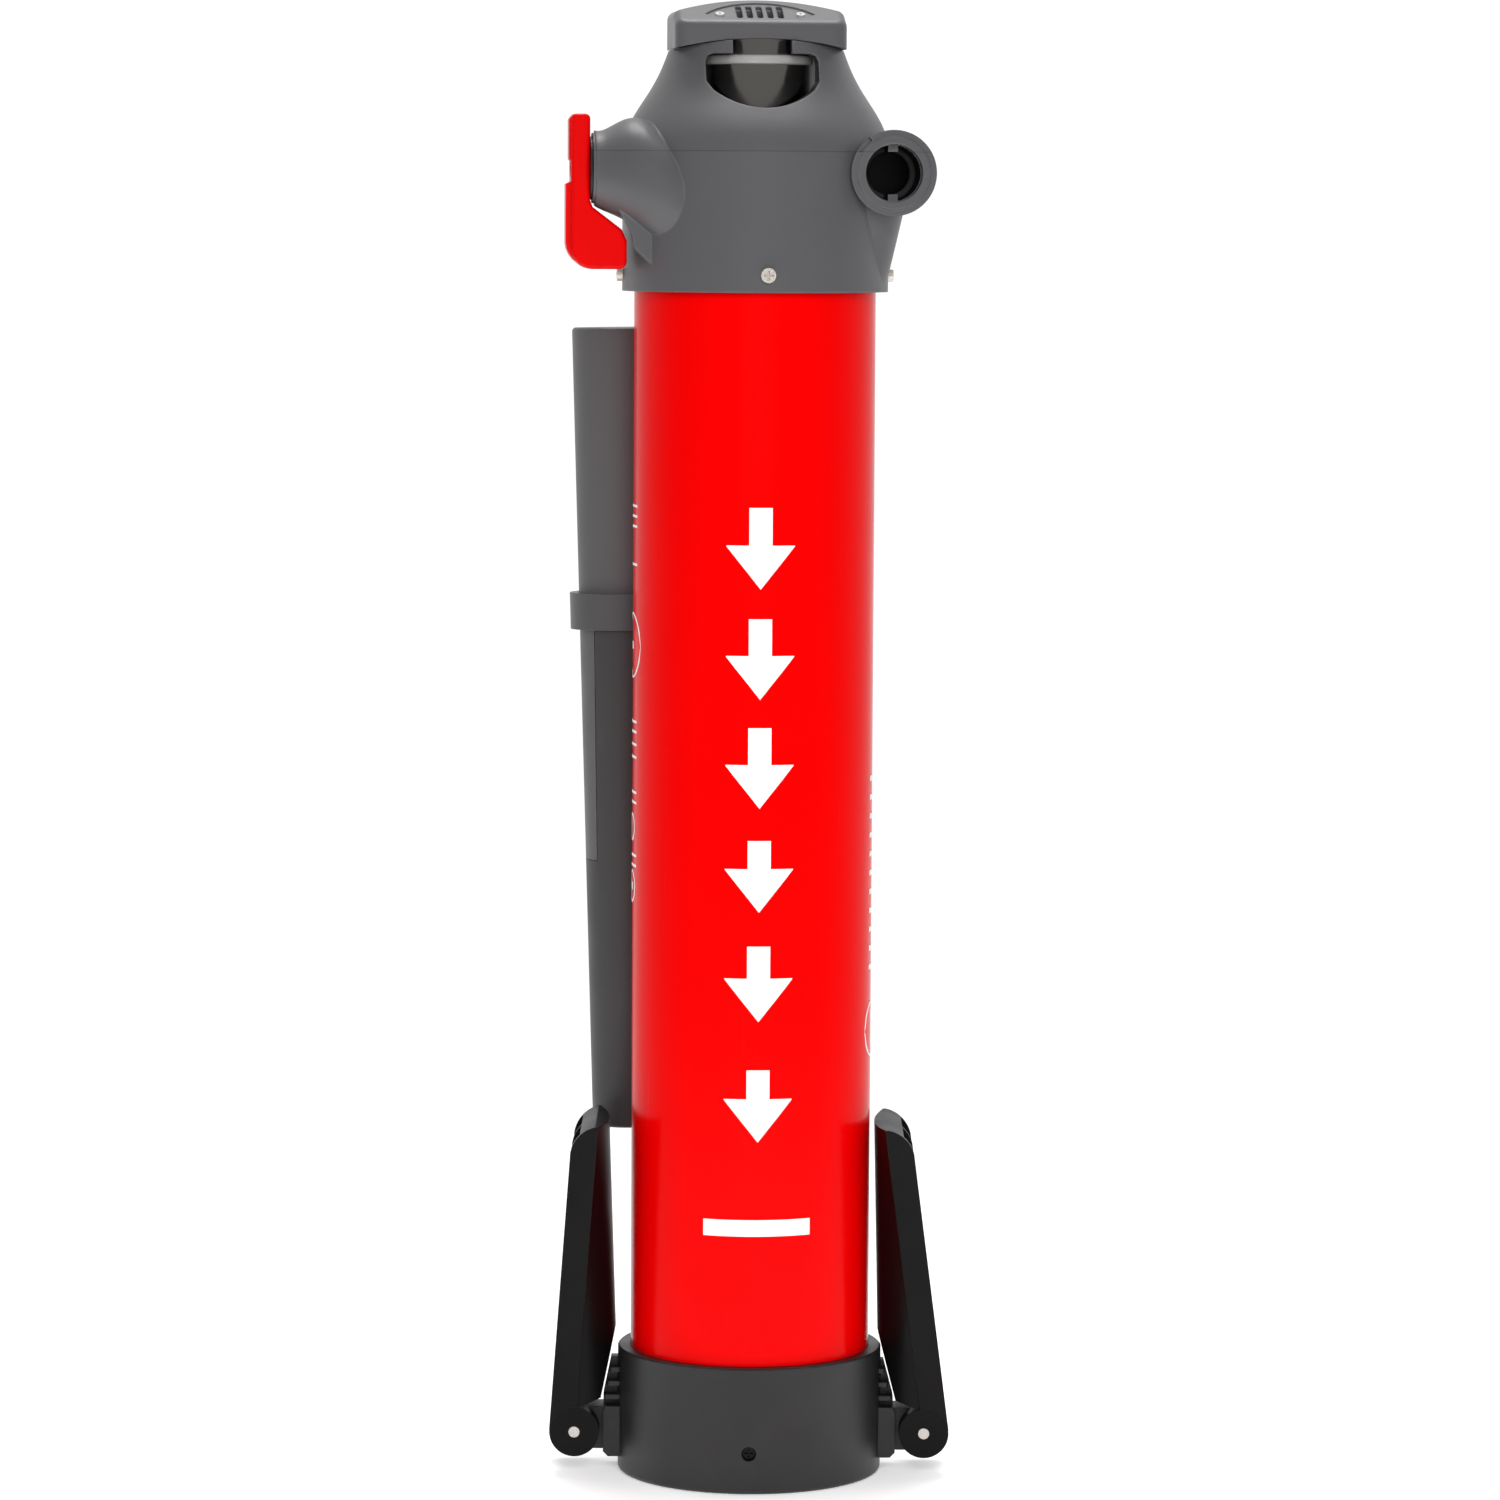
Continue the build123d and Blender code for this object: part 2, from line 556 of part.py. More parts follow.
LEVER_TOP = BOSS_Z + 20.9
LEVER_FOOT = BOSS_Z - 39.0
LEVER_TOE = -52.4
LEVER_SPINE_T = 1.9  # the narrower strip down the lever's outer side
LEVER_SPINE_HALF = 4.2
LEVER_SCREW_SEAT = 3.0
with BuildPart() as mode_lever:
    with BuildSketch(head_plane(0, BOSS_Y - LEVER_Y_HALF, 0, HEAD_Y)) as lever_outline:
        with BuildLine():
            Polyline(
                (-LEVER_OUT - LEVER_SPINE_T, LEVER_TOP),
                (-LEVER_OUT - LEVER_SPINE_T, LEVER_FOOT),
                (-LEVER_TOE, LEVER_FOOT),
                (-LEVER_TOE, BOSS_Z - 28),
                (-LEVER_TOE + 2.0, BOSS_Z - 23.6),
                (-LEVER_IN - 1.0, BOSS_Z - 15),
                (-LEVER_IN, BOSS_Z - 12.5),
                (-LEVER_IN, LEVER_TOP),
                close=True,
            )
        make_face()
        fillet(lever_outline.vertices().group_by(Axis.Y)[0].sort_by(Axis.X)[-1], 8.5)
        fillet(lever_outline.vertices().group_by(Axis.Y)[0].sort_by(Axis.X)[0], 3)
        fillet(lever_outline.vertices().group_by(Axis.Y)[-1], 2)
    extrude(amount=2 * LEVER_Y_HALF)
    rims = mode_lever.faces().filter_by(lambda face: abs(face.normal_at().dot(HEAD_Y)) > 0.99).edges()
    fillet(rims, 1.5)
    with BuildSketch(head_plane(0, BOSS_Y - LEVER_SPINE_HALF, 0, HEAD_Y)) as spine_outline:
        with BuildLine():
            Polyline(
                (-LEVER_OUT - 1.2, LEVER_TOP - 0.8),
                (-LEVER_OUT - 1.2, BOSS_Z + 3.4),
                (-LEVER_OUT - LEVER_SPINE_T, BOSS_Z + 2.7),
                (-LEVER_IN + 3, BOSS_Z + 2.7),
                (-LEVER_IN + 3, LEVER_TOP - 0.8),
                close=True,
            )
        make_face()
        fillet(spine_outline.vertices().group_by(Axis.Y)[-1].sort_by(Axis.X)[-1], 2)
    extrude(amount=2 * LEVER_SPINE_HALF)
    with BuildSketch(head_plane(0, BOSS_Y - LEVER_SPINE_HALF, 0, HEAD_Y)) as spine_outline:
        with BuildLine():
            Polyline(
                (-LEVER_OUT, LEVER_FOOT + 0.8),
                (-LEVER_OUT, BOSS_Z - 6.2),
                (-LEVER_OUT - LEVER_SPINE_T, BOSS_Z - 5.2),
                (-LEVER_IN + 3, BOSS_Z - 5.2),
                (-LEVER_IN + 3, BOSS_Z - 26),
                (-LEVER_TOE + 8, BOSS_Z - 30),
                (-LEVER_TOE + 8, LEVER_FOOT + 0.8),
                close=True,
            )
        make_face()
        fillet(spine_outline.vertices().group_by(Axis.Y)[0].sort_by(Axis.X)[-1], 10)
    extrude(amount=2 * LEVER_SPINE_HALF)
    outer_seat = head_plane(LEVER_OUT + LEVER_SPINE_T + LEVER_SCREW_SEAT, BOSS_Y, BOSS_Z, -HEAD_X)
    drill(outer_seat, 3.4, 10)
    drill(head_plane(LEVER_IN, BOSS_Y, BOSS_Z, -HEAD_X), LEVER_SCREW_R + FIT, 20)
write(mode_lever, "mode_lever")

with BuildPart() as lever_screw:
    pan_screw(outer_seat, 3.2, 1.8, LEVER_SCREW_R, 15)
write(lever_screw, "lever_screw")

# ---- Hub ----
# Its front slopes back from a brow, and the slope carries the vent.
BROW_Z = 573.4
RIDGE_Y = -1.0
SLOPE = Plane(
    origin=head_point(0, (RIDGE_Y - HUB_HALF_Y) / 2, (BROW_Z + HUB_TOP) / 2),
    x_dir=HEAD_X,
    z_dir=HEAD_X.cross(HEAD_Y * (RIDGE_Y + HUB_HALF_Y) + Vector(0, 0, HUB_TOP - BROW_Z)),
)
EYE_HALF_X = 21.5
EYE_SHOULDER = -3.5  # how far down the slope the eye's two ends are
EYE_DEPTH = 1.6
GRILLE_T = 1.1
VENT_PITCH = 4.0
VENT_W = 2.3
VENT_LEN = 12.5
VENT_SCREW_X = 15.8


def eye(gap):
    """The vent's pointed oval on the plane being sketched, smaller all round by a gap."""
    half_x = EYE_HALF_X - gap
    with BuildLine() as outline:
        ThreePointArc((-half_x, EYE_SHOULDER), (0, 8.8 - gap), (half_x, EYE_SHOULDER))
        ThreePointArc((half_x, EYE_SHOULDER), (0, -8.8 + gap), (-half_x, EYE_SHOULDER))
    make_face(outline.edges())


with BuildPart() as hub:
    with BuildSketch(HEAD_XZ):
        with BuildLine():
            top = ThreePointArc((-HUB_HALF_X, HUB_END_TOP), (0, HUB_TOP), (HUB_HALF_X, HUB_END_TOP))
            under = ThreePointArc((-HUB_HALF_X, HUB_END_UNDER), (0, HUB_UNDER), (HUB_HALF_X, HUB_END_UNDER))
            Line(top @ 0, under @ 0)
            Line(top @ 1, under @ 1)
        make_face()
    extrude(amount=HUB_HALF_Y, both=True)
    upright = hub.edges().filter_by(lambda edge: abs((edge % 0.5).Z) > 0.99)
    fillet(upright, 5.5)
    with BuildSketch(SLOPE):
        Rectangle(200, 100)
    extrude(amount=30, mode=Mode.SUBTRACT)
    upper_rim = hub.faces().sort_by(Axis.Z)[-1].edges() + hub.faces().filter_by(
        lambda face: face.normal_at().dot(SLOPE.z_dir) > 0.999
    ).edges()
    fillet(upper_rim, 3.6)
    drill(HEAD_XY.offset(PLUG_TOP), SHAFT_R + FIT, SHAFT_TOP - PLUG_TOP)
    rod(HEAD_XY.offset(PLUG_TOP), SHAFT_BORE_R - FIT, SLOT_FOOT - PLUG_TOP)
    with BuildSketch(HEAD_YZ.offset(SLOT_WALL - HUB_HALF_X)):
        with Locations((SLOT_Y, SLOT_FOOT + SLOT_H / 2)):
            RectangleRounded(SLOT_W, SLOT_H, 1.5)
    extrude(amount=2 * HUB_HALF_X, mode=Mode.SUBTRACT)
    with BuildSketch(SLOPE):
        eye(0)
    extrude(amount=-EYE_DEPTH, mode=Mode.SUBTRACT)
    with BuildSketch(SLOPE.offset(-EYE_DEPTH)):
        Rectangle(5 * VENT_PITCH, 9)
    extrude(amount=-7, mode=Mode.SUBTRACT)
    with BuildSketch(SLOPE.offset(-EYE_DEPTH)):
        with Locations((-VENT_SCREW_X, EYE_SHOULDER), (VENT_SCREW_X, EYE_SHOULDER)):
            Circle(0.95)
    extrude(amount=-2.4, mode=Mode.SUBTRACT)
write(hub, "hub")

with BuildPart() as vent_grille:
    with BuildSketch(SLOPE.offset(-EYE_DEPTH)):
        eye(0.15)
        with GridLocations(VENT_PITCH, 0, 5, 1):
            SlotOverall(VENT_LEN, VENT_W, rotation=90, mode=Mode.SUBTRACT)
        with Locations((-VENT_SCREW_X, EYE_SHOULDER), (VENT_SCREW_X, EYE_SHOULDER)):
            Circle(0.95, mode=Mode.SUBTRACT)
    extrude(amount=GRILLE_T)
write(vent_grille, "vent_grille")

with BuildPart() as vent_screws:
    for x in (-VENT_SCREW_X, VENT_SCREW_X):
        seat = SLOPE.offset(GRILLE_T - EYE_DEPTH)
        seat.origin = seat.from_local_coords(Vector(x, EYE_SHOULDER, 0))
        pan_screw(seat, 1.7, 0.9, 0.9, 3.2)
write(vent_screws, "vent_screws")

# ---- Stowed handle ----
BAR = Plane(origin=HANDLE_FOOT, x_dir=(-1, 0, 0), z_dir=HANDLE_AXIS)
TAPER = (HANDLE_TOP_R - HANDLE_FOOT_R) / HANDLE_LEN
TENON_FOOT = GRIP_SPLIT - TENON_LEN


def bar_radius(along):
    """The bar's radius at a distance along it."""
    return HANDLE_FOOT_R + TAPER * along


def bar(start, end, extra=0.0, mode=Mode.ADD):
    """Add or cut a stretch of the tapered bar, or of one larger all round, in the part being built."""
    ends = []
    for along in (start, end):
        with BuildSketch(BAR.offset(along)) as end_circle:
            Circle(bar_radius(along) + extra)
        ends.append(end_circle.sketch)
    loft(ends, mode=mode)


with BuildPart() as lower_grip:
    bar(0, GRIP_SPLIT - GRIP_GAP)
    fillet(lower_grip.edges().sort_by(Axis.Z)[0], 1.5)
    with BuildSketch(BAR.offset(TENON_FOOT - GRIP_GAP)):
        with Locations((TENON_FLAT - GRIP_GAP + 20, 0)):
            Rectangle(40, 60)
    extrude(amount=TENON_LEN + 1, mode=Mode.SUBTRACT)
write(lower_grip, "lower_grip")

with BuildPart() as upper_grip:
    bar(TENON_FOOT, HANDLE_LEN)
    fillet(upper_grip.edges().sort_by(Axis.Z)[-1], 1.5)
    with BuildSketch(BAR.offset(TENON_FOOT - 1)):
        with Locations((TENON_FLAT - 20, 0)):
            Rectangle(40, 60)
    extrude(amount=TENON_LEN + 1, mode=Mode.SUBTRACT)
write(upper_grip, "upper_grip")

CLIP_PAD_HALF = 14.0
CLIP_PAD_T = 2.2
with BuildPart() as handle_clip:
    bar(GRIP_SPLIT, GRIP_SPLIT + CLIP_H, CLIP_GAP + CLIP_WALL)
    with BuildSketch(Plane(origin=(0, 0, CLIP_Z - CLIP_H / 2), x_dir=HANDLE_OUT)):
        Circle(TUBE_R + CLIP_PAD_T)
        with Locations((-TUBE_R, 0)):
            Rectangle(4 * TUBE_R, 4 * TUBE_R, mode=Mode.INTERSECT, align=(Align.MIN, Align.CENTER))
        with Locations((0, 0)):
            Rectangle(2 * TUBE_R, 4 * TUBE_R, mode=Mode.SUBTRACT, align=(Align.MAX, Align.CENTER))
            Rectangle(TUBE_R - 2, 4 * TUBE_R, mode=Mode.SUBTRACT, align=(Align.MIN, Align.CENTER))
    extrude(amount=CLIP_H)
    with BuildSketch(Plane(origin=(0, 0, CLIP_Z - 20))):
        Circle(TUBE_R + 0.02)
    extrude(amount=40, mode=Mode.SUBTRACT)
    bar(GRIP_SPLIT - 2, GRIP_SPLIT + CLIP_H + 2, CLIP_GAP, Mode.SUBTRACT)
    for angle in RIVET_AZIMUTHS:
        drill(radial_plane(angle, 46, CLIP_Z), 1.55, 3.9)
write(handle_clip, "handle_clip")

with BuildPart() as clip_rivets:
    for angle in RIVET_AZIMUTHS:
        rod(radial_plane(angle, TUBE_BORE_R - 0.8, CLIP_Z), 1.5, 4.6)
write(clip_rivets, "clip_rivets")

# ---- Feet ----
RIB_STATIONS = (23.0, 49.0, 75.0, 100.0, 122.0)
RIB_HALF = 1.2


def foot_axes(name):
    """A folded foot's outward and lengthwise directions, and its pivot."""
    side = SIDES[name]
    lean = radians(LEANS[name])
    outward = Vector(side * cos(lean), 0, sin(lean))
    along = Vector(-side * sin(lean), 0, cos(lean))
    return outward, along, Vector(side * PIVOT_X, 0, PIVOT_Z)


def half_width(station):
    """Half the foot's width at a distance from its pivot."""
    return FOOT_HINGE_HALF + (FOOT_TOE_HALF - FOOT_HINGE_HALF) * station / FOOT_LEN


def crown(station):
    """The height of the tread's crown at a distance from the pivot."""
    return TREAD_HINGE + (TREAD_TOE - TREAD_HINGE) * station / FOOT_LEN


def cell_crown(station):
    """The roof of the hollow under the tread, which the heel's plane lowers near the hinge."""
    return max(crown(station), HEEL_OUT - HEEL_SLOPE * (station - HEEL_STATION)) + FOOT_WALL


def make_foot(name):
    """A fold-up foot: a crowned tread in a rim, hollow and ribbed below, with two hinge ears."""
    outward, along, pivot = foot_axes(name)
    side_plane = Plane(origin=pivot, x_dir=outward, z_dir=outward.cross(along))

    def station_plane(station):
        return Plane(origin=pivot + along * station, x_dir=outward, z_dir=along)

    with BuildPart() as foot:
        for station in (0, FOOT_LEN):
            edge = half_width(station)
            shelf = FOOT_SOLE - FOOT_RIM
            with BuildSketch(station_plane(station)):
                with BuildLine():
                    inset = edge - FOOT_GROOVE
                    ThreePointArc((shelf, -inset), (crown(station), 0), (shelf, inset))
                    Polyline((shelf, inset), (shelf, edge), (FOOT_SOLE, edge))
                    Polyline((FOOT_SOLE, edge), (FOOT_SOLE, -edge), (shelf, -edge), (shelf, -inset))
                make_face()
        loft(ruled=True)
        with BuildSketch(side_plane):
            with BuildLine():
                Polyline((0, 0), (FOOT_SOLE, 0), (FOOT_SOLE, FOOT_LEN - 11))
                RadiusArc((FOOT_SOLE, FOOT_LEN - 11), (FOOT_SOLE - 9, FOOT_LEN), -13)
                heel_end = (HEEL_OUT - HEEL_SLOPE * (44 - HEEL_STATION), 44)
                Polyline((FOOT_SOLE - 9, FOOT_LEN), (-30, FOOT_LEN), (-30, 44), heel_end)
                Polyline(heel_end, (HEEL_OUT, HEEL_STATION), (-2, 10.5), (0, 0))
            make_face()
            Circle(FOOT_BOSS_R)
        extrude(amount=40, both=True, mode=Mode.INTERSECT)
        # Ears at the hinge
        with BuildSketch(side_plane):
            Circle(FOOT_BOSS_R)
        extrude(amount=FOOT_HINGE_HALF, both=True)
        with BuildSketch(side_plane):
            with Locations((-5, -5)):
                Rectangle(50, 31)
        extrude(amount=FORK_HALF, both=True, mode=Mode.SUBTRACT)
        # Cells between the ribs of the sole
        for start, end in zip(RIB_STATIONS, RIB_STATIONS[1:]):
            for half in (-1, 1):
                for station in (start + RIB_HALF, end - RIB_HALF):
                    inside = half_width(station) - FOOT_WALL
                    roof = cell_crown(station)
                    shelf = FOOT_SOLE - FOOT_RIM
                    bulge = (roof + (shelf - roof) * 0.22, half * 0.5 * inside)
                    with BuildSketch(station_plane(station)):
                        with BuildLine():
                            ThreePointArc((roof, half * RIB_HALF), bulge, (shelf, half * inside))
                            Polyline((shelf, half * inside), (FOOT_SOLE + 2, half * inside))
                            Polyline((FOOT_SOLE + 2, half * inside), (FOOT_SOLE + 2, half * RIB_HALF))
                            Line((FOOT_SOLE + 2, half * RIB_HALF), (roof, half * RIB_HALF))
                        make_face()
                loft(ruled=True, mode=Mode.SUBTRACT)
        drill(side_plane.offset(-30), PIN_R + FIT, 60)
        # Flat faces round the pin's ends
        drill(side_plane.offset(FOOT_HINGE_HALF), FOOT_BOSS_R, 20)
        drill(side_plane.offset(-FOOT_HINGE_HALF), FOOT_BOSS_R, -20)
    return foot


CLIP_GROOVE_R = 1.7
CLIP_Y = FOOT_HINGE_HALF + 0.2
for name in SIDES:
    write(make_foot(name), f"{name}_foot")
    pivot = foot_axes(name)[2]
    with BuildPart() as foot_pin:
        pin_end = Plane(origin=pivot - Vector(0, FOOT_HINGE_HALF + 0.3, 0), z_dir=(0, 1, 0))
        rod(pin_end, PIN_R, 2 * FOOT_HINGE_HALF + 2)
        with BuildSketch(Plane(origin=pivot + Vector(0, CLIP_Y - 0.05, 0), z_dir=(0, 1, 0))):
            Circle(PIN_R + 1)
            Circle(CLIP_GROOVE_R, mode=Mode.SUBTRACT)
        extrude(amount=0.9, mode=Mode.SUBTRACT)
    write(foot_pin, f"{name}_foot_pin")
    with BuildPart() as pin_clip:
        with BuildSketch(Plane(origin=pivot + Vector(0, CLIP_Y, 0), z_dir=(0, 1, 0))):
            Circle(4.0)
            Circle(CLIP_GROOVE_R + FIT, mode=Mode.SUBTRACT)
            with Locations((3, 0)):
                Rectangle(6, 2.4, mode=Mode.SUBTRACT)
        extrude(amount=0.8)
    write(pin_clip, f"{name}_foot_clip")
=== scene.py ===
import json
import math

import bmesh
import bpy
from mathutils import Matrix, Vector


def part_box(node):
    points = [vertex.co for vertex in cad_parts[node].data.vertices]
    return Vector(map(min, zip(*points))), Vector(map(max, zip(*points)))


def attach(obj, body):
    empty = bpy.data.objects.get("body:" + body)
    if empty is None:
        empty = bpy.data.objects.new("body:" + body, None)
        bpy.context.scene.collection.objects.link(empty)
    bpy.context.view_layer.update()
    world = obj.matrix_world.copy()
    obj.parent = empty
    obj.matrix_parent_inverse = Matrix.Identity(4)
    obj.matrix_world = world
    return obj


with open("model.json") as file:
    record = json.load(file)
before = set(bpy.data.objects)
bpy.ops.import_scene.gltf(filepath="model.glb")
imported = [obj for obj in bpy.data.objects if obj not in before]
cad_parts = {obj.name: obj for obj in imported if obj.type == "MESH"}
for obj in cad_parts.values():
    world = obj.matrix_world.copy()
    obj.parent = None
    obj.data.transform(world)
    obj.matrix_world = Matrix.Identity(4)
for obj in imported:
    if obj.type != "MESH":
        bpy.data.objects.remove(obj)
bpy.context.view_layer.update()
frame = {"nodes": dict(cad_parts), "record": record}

# The looks of a stand-up hand pump for inflatables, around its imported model. Metres, +Z up, -Y the front.

NODES = frame["nodes"]
SCENE = bpy.context.scene
TUBE_LOW, TUBE_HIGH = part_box("main_tube")
TUBE_R = (TUBE_HIGH.x - TUBE_LOW.x) / 2


# ---- Camera, lights and floor ----

CAMERA_BACK = 2.258  # from the pump's axis
CAMERA_HEIGHT = 0.500
CAMERA_SIDE = -0.001
CAMERA_PITCH = math.radians(5.362)
CAMERA_ROLL = math.radians(0.31)
SENSOR = 36.0
LENS = 137.46


def make_camera():
    data = bpy.data.cameras.new("camera")
    data.sensor_width = SENSOR
    data.lens = LENS
    data.clip_start = 0.05
    data.clip_end = 60
    camera = bpy.data.objects.new("camera", data)
    SCENE.collection.objects.link(camera)
    tilt = Matrix.Rotation(math.pi / 2 - CAMERA_PITCH, 4, "X")
    roll = Matrix.Rotation(CAMERA_ROLL, 4, "Z")
    place = Matrix.Translation((CAMERA_SIDE, -CAMERA_BACK, CAMERA_HEIGHT))
    camera.matrix_world = place @ tilt @ roll
    SCENE.camera = camera


def softbox(name, place, aim, size, power):
    """A rectangular light facing a point."""
    data = bpy.data.lights.new(name, "AREA")
    data.shape = "RECTANGLE"
    data.size, data.size_y = size
    data.energy = power
    light = bpy.data.objects.new(name, data)
    SCENE.collection.objects.link(light)
    light.location = place
    light.rotation_mode = "QUATERNION"
    light.rotation_quaternion = (Vector(aim) - Vector(place)).to_track_quat("-Z", "Y")
    return light


BACKDROP = 1.05  # the world's brightness behind and beside the pump
FRONT_GLOOM = 0.20  # what its light falls to in front, where polished faces mirror it
GLOOM_Y = -0.45  # the gloom is full in directions whose Y is below this
BACKDROP_Y = 0.80  # and the backdrop in those whose Y is above this
FRONT_POWER = 56  # watts
TOP_POWER = 26
FLOOR_R = 2.0
FLOOR_DROP = 0.0002  # below the base, so that the two never fight
FLOOR_SOLID = 0.35  # the floor is whole out to this radius
FLOOR_GONE = 1.6  # and has faded into the world by this one
FLOOR_TONE = 0.90
FLOOR_GLOW = 0.32  # a little light of its own, so that it stays nearly white


def make_world():
    """A backdrop that is white all round, and lights the pump less from the front than from behind."""
    world = bpy.data.worlds.new("studio")
    SCENE.world = world
    world.use_nodes = True
    tree = world.node_tree
    background = tree.nodes["Background"]
    background.inputs["Color"].default_value = (1, 1, 1, 1)
    direction = tree.nodes.new("ShaderNodeTexCoord").outputs["Generated"]
    split = tree.nodes.new("ShaderNodeSeparateXYZ")
    tree.links.new(direction, split.inputs["Vector"])
    fade = tree.nodes.new("ShaderNodeMapRange")
    fade.interpolation_type = "SMOOTHSTEP"
    values = {"From Min": GLOOM_Y, "From Max": BACKDROP_Y, "To Min": FRONT_GLOOM, "To Max": BACKDROP}
    for socket, number in values.items():
        fade.inputs[socket].default_value = number
    tree.links.new(split.outputs["Y"], fade.inputs["Value"])
    seen = tree.nodes.new("ShaderNodeLightPath").outputs["Is Camera Ray"]
    strength = tree.nodes.new("ShaderNodeMix")
    strength.inputs["B"].default_value = BACKDROP
    tree.links.new(seen, strength.inputs["Factor"])
    tree.links.new(fade.outputs["Result"], strength.inputs["A"])
    tree.links.new(strength.outputs["Result"], background.inputs["Strength"])


def make_studio():
    SCENE.view_settings.view_transform = "Standard"
    make_world()
    middle = (0, 0, 0.3)
    front = softbox("front_fill", (0.15, -2.2, 0.9), middle, (1.3, 1.3), FRONT_POWER)
    front.visible_glossy = False
    softbox("top", (0.0, 0.5, 2.2), middle, (1.2, 0.8), TOP_POWER)
    bpy.ops.mesh.primitive_circle_add(
        vertices=96, radius=FLOOR_R, fill_type="NGON", location=(0, 0, -FLOOR_DROP)
    )
    floor = bpy.context.object
    floor.name = "floor"
    floor.data.materials.append(make_floor_material())


def make_floor_material():
    """A pale floor that fades out towards its rim."""
    material = bpy.data.materials.new("pale_floor")
    material.use_nodes = True
    tree = material.node_tree
    shader = tree.nodes["Principled BSDF"]
    shader.inputs["Base Color"].default_value = (FLOOR_TONE, FLOOR_TONE, FLOOR_TONE, 1)
    shader.inputs["Roughness"].default_value = 0.9
    shader.inputs["Specular IOR Level"].default_value = 0.1
    shader.inputs["Emission Color"].default_value = (1, 1, 1, 1)
    shader.inputs["Emission Strength"].default_value = FLOOR_GLOW
    length = tree.nodes.new("ShaderNodeVectorMath")
    length.operation = "LENGTH"
    tree.links.new(tree.nodes.new("ShaderNodeTexCoord").outputs["Object"], length.inputs[0])
    fade = tree.nodes.new("ShaderNodeMapRange")
    fade.interpolation_type = "SMOOTHSTEP"
    values = {"From Min": FLOOR_SOLID, "From Max": FLOOR_GONE, "To Min": 1.0, "To Max": 0.0}
    for socket, number in values.items():
        fade.inputs[socket].default_value = number
    tree.links.new(length.outputs["Value"], fade.inputs["Value"])
    tree.links.new(fade.outputs["Result"], shader.inputs["Alpha"])
    return material


# ---- Materials ----
SEAM_Z = 0.5235  # the parting line round the head
SEAM_HALF = 0.00012
PORT_SHADE_START = 0.0030  # how far into the hose port, from its mount, the plastic keeps its own grey before the painted shade starts
PORT_SHADE_END = 1.0  # far past the bore's end, so the painted shade also darkens the head's outside behind the port
